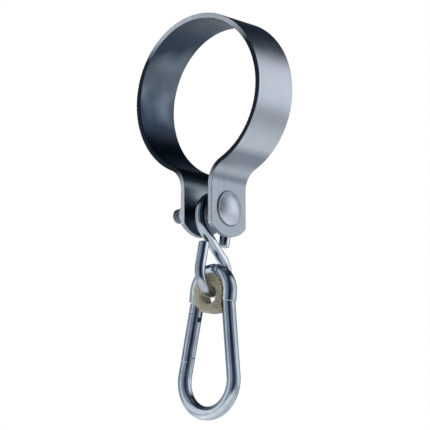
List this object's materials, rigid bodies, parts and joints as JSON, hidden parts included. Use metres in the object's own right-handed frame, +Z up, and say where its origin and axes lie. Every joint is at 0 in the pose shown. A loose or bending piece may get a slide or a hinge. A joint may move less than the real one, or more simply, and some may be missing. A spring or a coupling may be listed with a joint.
{
  "type": "swing hanger with snap hook",
  "caption": "Swing hanger for round timber: a bolted strap clamp with an S-hook and a bushed snap hook hanging from its bolt.",
  "frame": {"origin": "centre of the strap clamp's bore, on the axis of the timber that it holds", "axes": "+X along the timber's axis, +Y along the bolt towards its nut, +Z up"},
  "size_m": [0.034, 0.107, 0.2659],
  "materials": {
    "zinc_strip": "satin zinc plate",
    "zinc_bolt": "satin zinc plate",
    "bright_bar": "bright zinc plate",
    "spring_steel": "drawn wire",
    "olive_nylon": "moulded, slightly translucent",
    "nut_nylon": "moulded"
  },
  "bodies": {
    "clamp": {"strap_clamp": "zinc_strip", "carriage_bolt": "zinc_bolt", "lock_nut": "zinc_bolt", "nut_nylon_ring": "nut_nylon"},
    "link": {"s_hook": "bright_bar"},
    "snap_hook": {"carabiner_body": "bright_bar", "nylon_bush": "olive_nylon"},
    "gate_arm": {"gate": "bright_bar", "gate_pivot_pin": "zinc_bolt", "gate_spring": "spring_steel"},
    "plunger": {"gate_plunger": "spring_steel"}
  },
  "joints": [
    {"name": "hook_swing", "type": "hinge", "parent": "clamp", "child": "link", "pos_m": [0, 0, -0.076], "axis": [0, 1, 0], "range_deg": [-80, 80]},
    {"name": "carabiner_swing", "type": "hinge", "parent": "link", "child": "snap_hook", "pos_m": [0, 0, -0.12965], "axis": [1, 0, 0], "range_deg": [-75, 75]},
    {"name": "gate_open", "type": "hinge", "parent": "snap_hook", "child": "gate_arm", "pos_m": [0, 0.015, -0.14115], "axis": [-1, 0, 0], "range_deg": [0, 28], "stiffness_Nm_per_rad": 0.08, "springref_deg": -20.05},
    {"name": "plunger_slide", "type": "slide", "parent": "gate_arm", "child": "plunger", "axis": [0, 0.2177, -0.976], "range_m": [0, 0.00125], "deforming": ["gate_spring"]}
  ],
  "couplings": [
    {"joint": "plunger_slide", "follows": "gate_open", "m_per_rad": 0.0025553}
  ]
}
